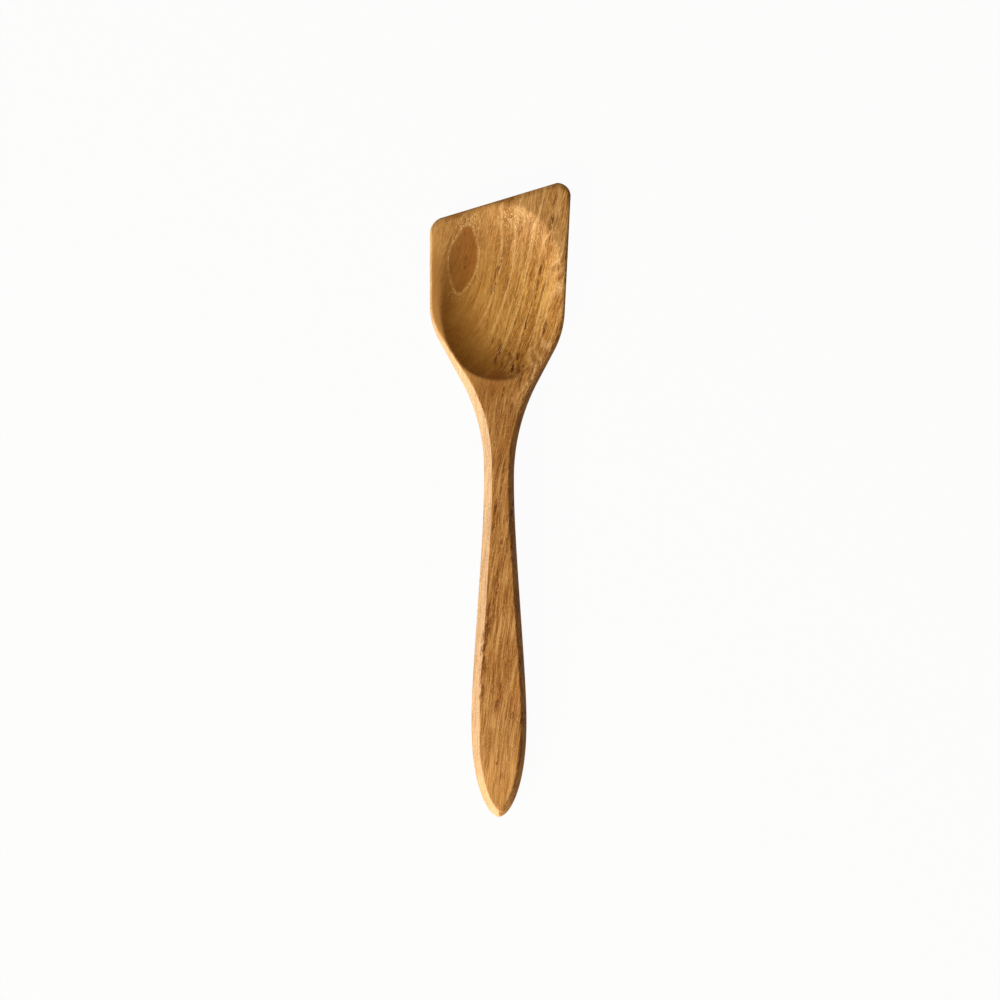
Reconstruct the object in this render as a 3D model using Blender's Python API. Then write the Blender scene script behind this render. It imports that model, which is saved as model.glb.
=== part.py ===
"""A wooden scoop spatula, carved from one board: a faceted handle that swells and ends in a pointed
oval, a thin neck, and a blade with a slanted front edge and an oval hollow in its upper face."""

import math

import bmesh
import bpy
import numpy as np
from mathutils import Matrix

# Lengths are in metres and angles in degrees. x runs from the handle's middle to the right, y from
# the handle's tip to the blade, and z up from the table that the spatula lies on.

# Handle, seen from above
TIP_TO_SWELL = 0.046
SWELL_TO_NECK = 0.112
SWELL_WIDTH = 0.0261
NECK_WIDTH = 0.0142
SWELL_EASE = 0.0239  # length over which the outline leaves the swell
NECK_EASE = 0.0296  # length over which it reaches the neck
TIP_ROUNDNESS = 2.3  # exponents of the oval that ends the handle
TIP_BLUNTNESS = 0.56

# Head, seen from above. The heel is the bowl's end nearest the handle.
NECK_TO_HEEL = 0.0484
LEFT_REACH = 0.0327  # handle's middle to the blade's side, at its shoulder
RIGHT_REACH = 0.0306
LEFT_FLARE = 0.0194  # where the sides leave the neck, before the heel
RIGHT_FLARE = 0.0217
LEFT_SHOULDER = 0.0270  # where they turn into the blade's sides, past the heel
RIGHT_SHOULDER = 0.0226
RIGHT_LEAN = 2.93
LEFT_THROAT_RADIUS = 0.086
RIGHT_THROAT_RADIUS = 0.100
LEFT_SHOULDER_RADIUS = 0.034
RIGHT_SHOULDER_RADIUS = 0.043
LEFT_CORNER_RADIUS = 0.0080
RIGHT_CORNER_RADIUS = 0.0063
FRONT_SLANT = 17.1

# Bowl
BOWL_LENGTH = 0.0830
BOWL_DEPTH = 0.0090
BOWL_LEAN = 4.5  # its long axis leans to the right
HEEL_FULLNESS = 3.4  # 2 is a round dish, and more gives a flatter floor with steeper walls
LIP_FULLNESS = 2.5
BOWL_SQUARENESS = 2.2  # 2 is an ellipse, and more fills the oval out between its axes
LEFT_RIM = 0.0049
RIGHT_RIM = 0.0020
FRONT_RIM = 0.001720

# Side view: heights of the upper face, then of the underside
TIP_TOP = 0.0105
SWELL_TOP = 0.0143
NECK_TOP = 0.0192
HEEL_TOP = 0.016273
FRONT_TOP = 0.011583
TIP_SLOPE = 0.105
SWELL_SLOPE = 0.060
TIP_UNDER = 0.0030
NECK_UNDER = 0.0074
REST_START = 0.020  # the handle's flat underside, from the tip
REST_LENGTH = 0.046
BELLY_START = 0.0156  # the blade's flat underside begins this far past the heel
UNDER_TIP_SLOPE = -0.25

# Facets along the edges
LEFT_BEVEL = 0.0038
RIGHT_BEVEL = 0.0026
TIP_BEVEL = 0.0031
TIP_BEVEL_LENGTH = 0.009  # the tip's facets keep their width this far
BLADE_BEVEL = 0.0012
FRONT_BEVEL = 0.0024
BEVEL_DROP = 0.0045
BLADE_BEVEL_DROP = 0.0009
FADE_BEFORE_HEEL = 0.0117  # where the handle's facets start to fade into the blade's thin edges
FADE_PAST_HEEL = 0.0383
UNDER_BEVEL = 0.0045
UNDER_RISE = 0.0040
SIDE_THICKNESS = 0.0032  # the blade's upright edge, at its sides and at its lip
LIP_THICKNESS = 0.0016
BLADE_UNDER_WIDTH = 0.024  # how far in the blade's underside curves up to its sides and lip
LIP_UNDER_WIDTH = 0.038
UNDER_ROUNDNESS = 1.8
MOST_BEVELLED = 0.8  # share of the thickness that the facets may take where the wood is thin
MOST_FACET = 0.47  # share of the width that one facet may take where the wood is narrow

# Fineness of the mesh
ARC_STEPS = 14
GRIP_EDGE_STEPS = 32
TIP_STEPS = 11
GRIP_STEPS = 12
THROAT_STEPS = 14
BLADE_STEPS = 9
CORNER_STEPS = 8
FRONT_STEPS = 16
TOP_POINTS = 5
UNDER_POINTS = 6
BOWL_RINGS = 12
BOWL_STEPS = 72

NECK = TIP_TO_SWELL + SWELL_TO_NECK
HEEL = NECK + NECK_TO_HEEL
SLANT = math.radians(FRONT_SLANT)
BLADE_SLOPE = (FRONT_TOP - HEEL_TOP) / BOWL_LENGTH


def smooth_step(value, start, end):
    t = np.clip((value - start) / (end - start), 0.0, 1.0)
    return t * t * (3.0 - 2.0 * t)


def mix(a, b, share):
    return a + (b - a) * share


def smooth_curve(value, knots):
    """Height at value on the curve through (distance, height, slope) knots."""
    value = np.asarray(value, float)
    first, last = knots[0], knots[-1]
    before = first[1] + (value - first[0]) * first[2]
    after = last[1] + (value - last[0]) * last[2]
    height = np.where(value < first[0], before, after)
    for (x0, y0, m0), (x1, y1, m1) in zip(knots, knots[1:]):
        run = x1 - x0
        t = (value - x0) / run
        piece = (
            y0 * (1 + 2 * t) * (1 - t) ** 2
            + m0 * run * t * (1 - t) ** 2
            + y1 * t * t * (3 - 2 * t)
            + m1 * run * t * t * (t - 1)
        )
        height = np.where((t >= 0) & (t <= 1), piece, height)
    return height


def rounded_path(corners):
    """Points along a path of (x, y, radius) corners, each but the two ends turned into an arc."""
    path = [np.array(corners[0][:2])]
    last = len(corners) - 1
    for i in range(1, last):
        before, corner, after = (np.array(corners[j][:2]) for j in (i - 1, i, i + 1))
        run_in, run_out = np.linalg.norm(corner - before), np.linalg.norm(after - corner)
        way_in, way_out = (corner - before) / run_in, (after - corner) / run_out
        turn = math.acos(float(np.clip(way_in @ way_out, -1.0, 1.0)))
        # An arc may take most of an end stretch, and half of one that it shares with another arc
        room = min(run_in * (0.95 if i == 1 else 0.48), run_out * (0.95 if i == last - 1 else 0.48))
        tangent = min(corners[i][2] * math.tan(turn / 2), room)
        radius = tangent / math.tan(turn / 2)
        side = way_out - way_in * (way_in @ way_out)
        side /= np.linalg.norm(side)
        start = corner - way_in * tangent
        for step in range(ARC_STEPS + 1):
            angle = turn * step / ARC_STEPS
            path.append(start + way_in * radius * math.sin(angle) + side * radius * (1 - math.cos(angle)))
    path.append(np.array(corners[last][:2]))
    return np.array(path)


def handle_edge():
    """The handle's edge at +x, from just past the tip to the neck, as (x, y) points."""
    swell, neck = SWELL_WIDTH / 2, NECK_WIDTH / 2
    points = []
    for step in range(1, GRIP_EDGE_STEPS + 1):
        along = 1 - math.cos(math.pi / 2 * step / GRIP_EDGE_STEPS)
        half = swell * (1 - (1 - along) ** TIP_ROUNDNESS) ** TIP_BLUNTNESS
        points.append((half, TIP_TO_SWELL * along))
    for step in range(1, GRIP_EDGE_STEPS):
        t = step / GRIP_EDGE_STEPS
        a, b, c, d = (1 - t) ** 3, 3 * (1 - t) ** 2 * t, 3 * (1 - t) * t * t, t**3
        x = swell * (a + b) + neck * (c + d)
        y = TIP_TO_SWELL * a + (TIP_TO_SWELL + SWELL_EASE) * b + (NECK - NECK_EASE) * c + NECK * d
        points.append((x, y))
    return np.array(points)


class Bowl:
    """The hollow's place and size. It fills the blade between its rims."""

    def __init__(self):
        self.lean = math.radians(BOWL_LEAN)
        half_length = BOWL_LENGTH / 2
        self.y = HEEL + half_length
        rise = self.y - HEEL - RIGHT_SHOULDER
        left = -LEFT_REACH + LEFT_RIM
        right = RIGHT_REACH + rise * math.tan(math.radians(RIGHT_LEAN)) - RIGHT_RIM
        self.x = (left + right) / 2
        half_width = (right - left) / 2
        # Half axes that make the leaning oval as wide and as long as asked
        self.across, self.along = half_width, half_length
        for _ in range(20):
            self.across *= half_width / self.reach(math.pi / 2)
            self.along *= half_length / self.reach(0.0)
        # Distance from the bowl's middle to the front edge, square to that edge
        self.to_front = self.reach(-SLANT) + FRONT_RIM

    def reach(self, turn):
        """How far the oval reaches from its middle, this much to the right of straight ahead."""
        power = BOWL_SQUARENESS / (BOWL_SQUARENESS - 1)
        aside = abs(self.across * math.sin(turn - self.lean))
        ahead = abs(self.along * math.cos(turn - self.lean))
        return (aside**power + ahead**power) ** (1 / power)


BOWL = Bowl()


def front_distance(x, y):
    """How far a point lies behind the front edge, square to it."""
    return BOWL.to_front + (x - BOWL.x) * math.sin(SLANT) - (y - BOWL.y) * math.cos(SLANT)


def front_corner(x, y, lean):
    """Where a side that starts at (x, y), leaning out by an angle, meets the front edge."""
    way = np.array([math.sin(lean), math.cos(lean)])
    closing = -way[0] * math.sin(SLANT) + way[1] * math.cos(SLANT)
    return np.array([x, y]) + way * front_distance(x, y) / closing


def side_corners(sign, reach, flare, shoulder, lean, radii):
    """The corners of one side from the neck to the front edge, as (x, y, radius)."""
    neck = sign * NECK_WIDTH / 2
    front = front_corner(sign * reach, HEEL + shoulder, sign * math.radians(lean))
    return [
        (neck, NECK, 0.0),
        (neck, HEEL - flare, radii[0]),
        (sign * reach, HEEL + shoulder, radii[1]),
        (front[0], front[1], radii[2]),
    ]


class Outline:
    """The spatula seen from above."""

    def __init__(self):
        left = side_corners(
            -1, LEFT_REACH, LEFT_FLARE, LEFT_SHOULDER, 0.0,
            (LEFT_THROAT_RADIUS, LEFT_SHOULDER_RADIUS, LEFT_CORNER_RADIUS),
        )
        right = side_corners(
            1, RIGHT_REACH, RIGHT_FLARE, RIGHT_SHOULDER, RIGHT_LEAN,
            (RIGHT_THROAT_RADIUS, RIGHT_SHOULDER_RADIUS, RIGHT_CORNER_RADIUS),
        )
        grip = handle_edge()
        mirrored = grip * (-1, 1)
        tip = np.array([[0.0, 0.0]])
        head = rounded_path(left + right[::-1])
        around = np.vstack([tip, mirrored, head, grip[::-1], tip])
        top = int(np.argmax(around[:, 1]))
        self.around = around
        self.left = around[: top + 1]
        self.right = around[top:][::-1]
        self.length = around[top, 1]
        self.apex_x = around[top, 0]
        self.corner_start = left[3][1] - LEFT_CORNER_RADIUS
        # The sides alone, run on past the front edge
        self.left_side = np.vstack([tip, mirrored, self.run_on(left)])
        self.right_side = np.vstack([tip, grip, self.run_on(right)])
        self.middle_x = (around[:, 0].min() + around[:, 0].max()) / 2
        self.segments = np.diff(around, axis=0)
        self.lengths = np.linalg.norm(self.segments, axis=1)
        self.front_facing = self.segments[:, 0] / self.lengths

    @staticmethod
    def run_on(corners):
        shoulder, front = np.array(corners[2][:2]), np.array(corners[3][:2])
        past = front + (front - shoulder)
        return rounded_path(corners[:3] + [(past[0], past[1], 0.0)])

    @staticmethod
    def edge(path, y):
        """The edge's x at y."""
        return np.interp(y, path[:, 1], path[:, 0])

    def squareness(self, path, y, step=2e-4):
        """How much shorter the distance to an edge is than its distance along x."""
        slope = (self.edge(path, y + step) - self.edge(path, y - step)) / (2 * step)
        return 1 / np.sqrt(1 + slope * slope)

    def edge_distance(self, x, y):
        """Distance to the outline, and how much the nearest stretch of it faces the front."""
        point = np.stack([x, y], axis=-1)[:, None, :]
        offset = point - self.around[:-1]
        along = np.clip((offset * self.segments).sum(-1) / self.lengths**2, 0.0, 1.0)
        gap = np.linalg.norm(offset - self.segments * along[..., None], axis=-1)
        nearest = gap.argmin(axis=1)
        return gap[np.arange(len(gap)), nearest], self.front_facing[nearest]


OUTLINE = Outline()


def blade_share(y):
    """0 along the handle and 1 along the blade."""
    return smooth_step(y, HEEL - FADE_BEFORE_HEEL, HEEL + FADE_PAST_HEEL)


def top_height(y):
    """The upper face along the spatula. Past the heel it is one plane."""
    knots = [
        (0.0, TIP_TOP, TIP_SLOPE),
        (TIP_TO_SWELL, SWELL_TOP, SWELL_SLOPE),
        (NECK, NECK_TOP, 0.0),
        (HEEL, HEEL_TOP, BLADE_SLOPE),
    ]
    return smooth_curve(y, knots)


def belly_height(y):
    """The lowest line of the underside. It rests on the table twice."""
    knots = [
        (0.0, TIP_UNDER, UNDER_TIP_SLOPE),
        (REST_START, 0.0, 0.0),
        (REST_START + REST_LENGTH, 0.0, 0.0),
        (NECK, NECK_UNDER, 0.0),
        (HEEL + BELLY_START, 0.0, 0.0),
    ]
    return smooth_curve(y, knots)


def bevel_room(y):
    """Less than 1 where the upper and lower facets would meet."""
    thickness = top_height(y) - belly_height(y)
    return np.minimum(1.0, MOST_BEVELLED * thickness / (BEVEL_DROP + UNDER_RISE))


def bevel_drop(y):
    return mix(BEVEL_DROP * bevel_room(y), BLADE_BEVEL_DROP, blade_share(y))


def bevel_width(x, y, front_facing):
    """Width of the upper facet, square to the edge."""
    handle = np.where(x < 0, LEFT_BEVEL, RIGHT_BEVEL)
    handle = mix(TIP_BEVEL, handle, smooth_step(y, TIP_BEVEL_LENGTH, TIP_TO_SWELL))
    blade = mix(BLADE_BEVEL, FRONT_BEVEL, smooth_step(front_facing, 0.0, 1.0))
    return mix(handle, blade, blade_share(y))


def upper_surface(x, y):
    """Height of the upper face at each point, with its facets."""
    distance, front_facing = OUTLINE.edge_distance(x, y)
    near_edge = np.clip(1 - distance / bevel_width(x, y, front_facing), 0.0, 1.0)
    return top_height(y) - bevel_drop(y) * near_edge


def lower_surface(x, y):
    """Height of the underside at each point: facets on the handle, a shallow dish on the blade."""
    blade = blade_share(y)
    left = (x - OUTLINE.edge(OUTLINE.left_side, y)) * OUTLINE.squareness(OUTLINE.left_side, y)
    right = (OUTLINE.edge(OUTLINE.right_side, y) - x) * OUTLINE.squareness(OUTLINE.right_side, y)
    width = mix(UNDER_BEVEL, BLADE_UNDER_WIDTH, blade)
    near_lip = np.clip(1 - front_distance(x, y) / LIP_UNDER_WIDTH, 0.0, 1.0)
    near = sum(np.clip(1 - gap / width, 0.0, 1.0) ** 4 for gap in (left, right)) + near_lip**4
    near = np.minimum(near**0.25, 1.0)
    low = belly_height(y)
    handle_edge_height = low + UNDER_RISE * bevel_room(y)
    blade_thickness = mix(SIDE_THICKNESS, LIP_THICKNESS, near_lip**2)
    blade_edge_height = top_height(y) - BLADE_BEVEL_DROP - blade_thickness
    edge_height = mix(handle_edge_height, blade_edge_height, blade)
    return low + (edge_height - low) * near ** mix(1.0, UNDER_ROUNDNESS, blade)


def facet_end(edge, y, way, width, tries=400):
    """Where the upper facet that starts at an edge meets the upper face, going one way along x."""
    x = edge + way * np.linspace(0.0, MOST_FACET * width, tries)
    distance, facing = OUTLINE.edge_distance(x, np.full(tries, y))
    past = distance >= bevel_width(x, y, facing)
    return x[past.argmax()] if past.any() else x[-1]


def section(y):
    """One cross-section as (x, y, z) points: over the top from left to right, then back below."""
    left, right = OUTLINE.edge(OUTLINE.left, y), OUTLINE.edge(OUTLINE.right, y)
    width = right - left
    inner = np.linspace(facet_end(left, y, 1, width), facet_end(right, y, -1, width), TOP_POINTS)
    top_x = np.concatenate([[left], inner, [right]])

    under = mix(UNDER_BEVEL, BLADE_UNDER_WIDTH, blade_share(y))
    steps = np.linspace(0.0, 1.0, UNDER_POINTS)
    under_left = left + steps * min(under / OUTLINE.squareness(OUTLINE.left, y), MOST_FACET * width)
    under_right = right - steps * min(under / OUTLINE.squareness(OUTLINE.right, y), MOST_FACET * width)
    under_x = np.concatenate([under_right, under_left[::-1]])

    top_y, under_y = np.full(len(top_x), y), np.full(len(under_x), y)
    top = np.stack([top_x, top_y, upper_surface(top_x, top_y)], axis=1)
    under_z = lower_surface(under_x, under_y)
    return np.vstack([top, np.stack([under_x, under_y, under_z], axis=1)])


def stations(nearest=0.001):
    """Where the cross-sections are, closest together where the outline turns."""
    corner = OUTLINE.corner_start
    corner_end = corner + LEFT_CORNER_RADIUS
    bend = np.pi / 2
    parts = [
        TIP_TO_SWELL * (1 - np.cos(bend * np.arange(1, TIP_STEPS + 1) / TIP_STEPS)),
        np.linspace(TIP_TO_SWELL, NECK, GRIP_STEPS + 1)[1:],
        np.linspace(NECK, HEEL + LEFT_SHOULDER, THROAT_STEPS + 1)[1:],
        np.linspace(HEEL + LEFT_SHOULDER, corner, BLADE_STEPS + 1)[1:],
        np.linspace(corner, corner_end, CORNER_STEPS + 1)[1:],
        corner_end + (OUTLINE.length - corner_end) * np.sin(bend * np.arange(1, FRONT_STEPS) / FRONT_STEPS),
    ]
    even = np.concatenate(parts)
    # The flats that the spatula rests on begin and end at sections of their own
    flats = np.array([REST_START, REST_START + REST_LENGTH, HEEL + BELLY_START])
    clear = np.abs(even[:, None] - flats).min(axis=1) > nearest
    return np.sort(np.concatenate([even[clear], flats]))


def closing_point(x, y):
    """The point that ends the loft, halfway up its upright edge."""
    at = np.array([x]), np.array([y])
    return x, y, float(upper_surface(*at)[0] + lower_surface(*at)[0]) / 2


def wood():
    material = bpy.data.materials.new("oiled_teak")
    material.use_nodes = True
    shader = material.node_tree.nodes["Principled BSDF"]
    shader.inputs["Base Color"].default_value = (0.42, 0.19, 0.055, 1.0)
    shader.inputs["Roughness"].default_value = 0.5
    shader.inputs["Metallic"].default_value = 0.0
    return material


def carved_body(parts):
    """The body lofted from its cross-sections, with its frame in the middle of its outline."""
    mesh = bmesh.new()
    rings = [[mesh.verts.new(point) for point in section(y)] for y in stations()]
    count = len(rings[0])
    for ring, after in zip(rings, rings[1:]):
        for i in range(count):
            j = (i + 1) % count
            mesh.faces.new((ring[i], ring[j], after[j], after[i]))
    ends = (
        (rings[0], closing_point(0.0, 0.0), True),
        (rings[-1], closing_point(OUTLINE.apex_x, OUTLINE.length), False),
    )
    for ring, point, turned in ends:
        end = mesh.verts.new(point)
        for i in range(count):
            pair = (ring[(i + 1) % count], ring[i]) if turned else (ring[i], ring[(i + 1) % count])
            mesh.faces.new((*pair, end))
    bmesh.ops.recalc_face_normals(mesh, faces=mesh.faces)
    bmesh.ops.translate(mesh, verts=mesh.verts, vec=(-OUTLINE.middle_x, -OUTLINE.length / 2, 0.0))
    data = bpy.data.meshes.new("spatula_body")
    mesh.to_mesh(data)
    mesh.free()
    body = bpy.data.objects.new("spatula_body", data)
    data.materials.append(wood())
    parts.objects.link(body)
    return body


def bowl_cutter(cutters):
    """The hollow as a dish of oval rings, steepest at the heel, laid in the blade's upper face."""
    dish = bmesh.new()
    past_rim = 1.25  # the dish runs on this far, so that it cuts clear of the wood
    shares = [past_rim] + [math.sin(math.pi / 2 * (1 - i / BOWL_RINGS)) for i in range(BOWL_RINGS)]
    oval = []
    for step in range(BOWL_STEPS):
        across, along = math.cos(math.tau * step / BOWL_STEPS), math.sin(math.tau * step / BOWL_STEPS)
        reach = (abs(across) ** BOWL_SQUARENESS + abs(along) ** BOWL_SQUARENESS) ** (-1 / BOWL_SQUARENESS)
        fullness = mix(HEEL_FULLNESS, LIP_FULLNESS, 0.5 + 0.5 * along * reach)
        oval.append((across * reach, along * reach, fullness))
    rings = [[dish.verts.new((x * share, y * share, BOWL_DEPTH * (share**fullness - 1)))
              for x, y, fullness in oval] for share in shares]
    lid_height = BOWL_DEPTH * (past_rim**HEEL_FULLNESS - 1)
    lid, floor = dish.verts.new((0.0, 0.0, lid_height)), dish.verts.new((0.0, 0.0, -BOWL_DEPTH))
    for i in range(BOWL_STEPS):
        j = (i + 1) % BOWL_STEPS
        dish.faces.new((lid, rings[0][i], rings[0][j]))
        for ring, after in zip(rings, rings[1:]):
            dish.faces.new((ring[i], after[i], after[j], ring[j]))
        dish.faces.new((rings[-1][i], floor, rings[-1][j]))
    bmesh.ops.recalc_face_normals(dish, faces=dish.faces)
    data = bpy.data.meshes.new("bowl_cutter")
    dish.to_mesh(data)
    dish.free()
    cutter = bpy.data.objects.new("bowl_cutter", data)
    place = (BOWL.x - OUTLINE.middle_x, BOWL.y - OUTLINE.length / 2, float(top_height(BOWL.y)))
    cutter.matrix_world = (
        Matrix.Translation(place)
        @ Matrix.Rotation(math.atan(BLADE_SLOPE), 4, "X")
        @ Matrix.Rotation(-BOWL.lean, 4, "Z")
        @ Matrix.Diagonal((BOWL.across, BOWL.along, 1.0, 1.0))
    )
    cutter.hide_render = True
    cutter.display_type = "WIRE"
    cutters.objects.link(cutter)
    return cutter


def build():
    for obj in list(bpy.data.objects):
        bpy.data.objects.remove(obj, do_unlink=True)
    parts = bpy.data.collections.new("wooden_spatula")
    cutters = bpy.data.collections.new("cutters")
    bpy.context.scene.collection.children.link(parts)
    bpy.context.scene.collection.children.link(cutters)
    body = carved_body(parts)
    hollow = body.modifiers.new("bowl", "BOOLEAN")
    hollow.operation = "DIFFERENCE"
    hollow.solver = "EXACT"
    hollow.object = bowl_cutter(cutters)
    body.data.shade_smooth()
    body.data.set_sharp_from_angle(angle=math.radians(22))
    body.modifiers.new("even shading", "WEIGHTED_NORMAL").keep_sharp = True


build()
print(f"length {OUTLINE.length * 1000:.1f} mm, middle of the outline at x {OUTLINE.middle_x * 1000:.2f} mm")
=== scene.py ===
import math

import bmesh
import bpy
import numpy as np
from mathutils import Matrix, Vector


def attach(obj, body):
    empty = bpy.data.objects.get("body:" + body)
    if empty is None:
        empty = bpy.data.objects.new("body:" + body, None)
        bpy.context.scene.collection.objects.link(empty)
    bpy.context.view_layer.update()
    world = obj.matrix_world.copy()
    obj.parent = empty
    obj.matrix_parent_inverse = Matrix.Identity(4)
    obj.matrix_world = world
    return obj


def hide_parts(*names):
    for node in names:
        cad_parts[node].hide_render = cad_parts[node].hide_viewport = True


# A wooden scoop spatula, hand carved from one board of teak, lying on its back on a white table.
# Sizes in the dictionaries are millimetres and degrees. x runs to the right from the handle's
# middle, y from the handle's tip to the blade and z up from the table.

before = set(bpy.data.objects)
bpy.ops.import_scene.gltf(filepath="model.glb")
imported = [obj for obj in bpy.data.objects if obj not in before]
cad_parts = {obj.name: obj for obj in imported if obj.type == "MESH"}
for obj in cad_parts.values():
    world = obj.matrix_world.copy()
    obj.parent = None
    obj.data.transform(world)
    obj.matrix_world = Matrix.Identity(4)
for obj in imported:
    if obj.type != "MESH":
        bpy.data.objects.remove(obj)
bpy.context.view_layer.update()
print("frame loaded:", sorted(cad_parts))

mm = 0.001

spatula = {
    # handle from above
    "tipToSwell": 46.0, "swellToNeck": 112.0, "swellWidth": 26.1, "neckWidth": 14.2,
    "swellEase": 23.9, "neckEase": 29.6, "tipRoundness": 2.3, "tipBluntness": 0.56,
    # blade from above; the heel is the bowl's end nearest the handle
    "neckToHeel": 48.4,
    "leftReach": 32.7, "rightReach": 30.6, "leftFlare": 19.4, "rightFlare": 21.7,
    "leftShoulder": 27.0, "rightShoulder": 22.6, "rightLean": 2.93,
    "leftRadii": (86.0, 34.0, 8.0), "rightRadii": (100.0, 43.0, 6.3),
    "frontSlant": 17.1,
    # heights of the upper face and the underside
    "tipTop": 10.5, "swellTop": 14.3, "neckTop": 19.2, "heelTop": 16.273, "frontTop": 11.583,
    "tipSlope": 0.105, "swellSlope": 0.060,
    "tipUnder": 3.0, "neckUnder": 7.4, "restStart": 20.0, "restLength": 46.0,
    "bellyStart": 15.6, "underTipSlope": -0.25,
    # facets along the edges
    "leftBevel": 3.8, "rightBevel": 2.6, "tipBevel": 3.1, "tipBevelLength": 9.0,
    "bladeBevel": 1.2, "frontBevel": 2.4, "bevelDrop": 4.5, "bladeBevelDrop": 0.9,
    "fadeBeforeHeel": 11.7, "fadePastHeel": 38.3, "tiltBeforeHeel": 4.0, "tiltPastHeel": 78.0,
    "underBevel": 4.5, "underRise": 4.0, "sideThickness": 3.2, "lipThickness": 1.6,
    "bladeUnderWidth": 24.0, "lipUnderWidth": 38.0, "underRoundness": 1.8,
    "mostBevelled": 0.8,
    # how far the plane and the sandpaper rounded things off
    "edgeRound": 0.75, "bladeEdgeRound": 0.55, "creaseRound": 0.10, "underCreaseRound": 0.08,
    "mostRounded": 0.42, "leastThickness": 0.2,
    # the unevenness of the upper face, which dies out at its edges, and of the facets' widths
    "handWaviness": 0.10, "waveStretch": 1.6, "calmEdge": 3.0,
    "bevelWaviness": 0.05, "bevelWaveStretch": 0.9, "bevelWaveSkew": 0.2,
}

bowl = {
    "length": 83.0, "depth": 9.0, "lean": 4.5, "squareness": 2.2,
    "heelFullness": 3.4, "lipFullness": 2.5,
    "leftRim": 4.9, "rightRim": 2.0, "frontRim": 1.72,
    # the rim is crisp at the heel and the front right, softer elsewhere and softest at the front left
    "crispRim": 0.45, "softRim": 1.6, "softestRim": 3.0,
    # where it turns so, in shares of the bowl's half width to the right and half length ahead
    "softAside": (0.1, 0.65), "softAhead": (-0.55, 0.0),
    "crispAside": (0.1, 0.45), "crispAhead": (0.45, 0.75),
    "softestLeft": (0.1, 0.6), "softestAhead": (0.1, 0.7),
}

# The slow unevenness that a spokeshave leaves: (wavelength, how it shifts across, start, strength)
waves = [(7.9, 0.11, 0.7, 1.0), (3.7, -0.07, 2.1, 0.6), (2.3, 0.16, 4.0, 0.5)]

# How finely the skin is divided, and the steps from its edges inwards, where it is rounded over
fineness = {
    "across": 96, "sideSteps": 4, "arcSteps": 40,
    "tipStep": 0.7, "handleStep": 1.0, "bladeStep": 0.62,
    "fromEnds": (0.02, 0.1, 0.25, 0.45, 0.7, 1.0, 1.4, 1.9),
    "fromSides": (0.0, 0.05, 0.14, 0.28, 0.46, 0.70), "narrow": 5.0,
    "tipEnd": 20.0, "bladeStart": 25.0,
}


def smoothStep(value, start, end):
    t = np.clip((value - start) / (end - start), 0.0, 1.0)
    return t * t * (3.0 - 2.0 * t)


def mix(a, b, share):
    return a + (b - a) * share


def softPositive(value, softness):
    # value where it is well above nought and nought where it is well below, with a round turn
    return 0.5 * (value + np.sqrt(value * value + softness * softness))


def softLower(a, b, softness):
    share = np.clip(0.5 + 0.5 * (b - a) / softness, 0.0, 1.0)
    return mix(b, a, share) - softness * share * (1.0 - share)


def smoothCurve(value, knots):
    # the curve through (distance, height, slope) knots
    value = np.asarray(value, float)
    first, last = knots[0], knots[-1]
    before = first[1] + (value - first[0]) * first[2]
    after = last[1] + (value - last[0]) * last[2]
    height = np.where(value < first[0], before, after)
    for (x0, y0, m0), (x1, y1, m1) in zip(knots, knots[1:]):
        run = x1 - x0
        t = (value - x0) / run
        rising = y0 * (1 + 2 * t) * (1 - t) ** 2 + m0 * run * t * (1 - t) ** 2
        arriving = y1 * t * t * (3 - 2 * t) + m1 * run * t * t * (t - 1)
        height = np.where((t >= 0) & (t <= 1), rising + arriving, height)
    return height


# The outline from above
s = spatula
neckY = s["tipToSwell"] + s["swellToNeck"]
heelY = neckY + s["neckToHeel"]
slant = math.radians(s["frontSlant"])
bladeSlope = (s["frontTop"] - s["heelTop"]) / bowl["length"]


def bowlReach(turn):
    # how far the bowl's oval reaches from its middle, this much to the right of straight ahead
    power = bowl["squareness"] / (bowl["squareness"] - 1)
    aside = abs(bowl["across"] * math.sin(turn - math.radians(bowl["lean"])))
    ahead = abs(bowl["along"] * math.cos(turn - math.radians(bowl["lean"])))
    return (aside**power + ahead**power) ** (1 / power)


def placeBowl():
    halfLength = bowl["length"] / 2
    bowl["y"] = heelY + halfLength
    rise = halfLength - s["rightShoulder"]
    left = -s["leftReach"] + bowl["leftRim"]
    right = s["rightReach"] + rise * math.tan(math.radians(s["rightLean"])) - bowl["rightRim"]
    bowl["x"] = (left + right) / 2
    halfWidth = (right - left) / 2
    # the half axes that make the leaning oval fill the blade between its rims
    bowl["across"], bowl["along"] = halfWidth, halfLength
    for _ in range(20):
        bowl["across"] *= halfWidth / bowlReach(math.pi / 2)
        bowl["along"] *= halfLength / bowlReach(0.0)
    bowl["toFront"] = bowlReach(-slant) + bowl["frontRim"]


placeBowl()


def frontDistance(x, y):
    # how far a point lies behind the front edge, square to it
    return bowl["toFront"] + (x - bowl["x"]) * math.sin(slant) - (y - bowl["y"]) * math.cos(slant)


def sideCorners(sign, reach, flare, shoulder, lean, radii):
    lean = sign * math.radians(lean)
    way = np.array([math.sin(lean), math.cos(lean)])
    start = np.array([sign * reach, heelY + shoulder])
    closing = way[1] * math.cos(slant) - way[0] * math.sin(slant)
    front = start + way * frontDistance(*start) / closing
    neck = sign * s["neckWidth"] / 2
    return [(neck, neckY, 0.0), (neck, heelY - flare, radii[0]), (*start, radii[1]), (*front, radii[2])]


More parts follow.
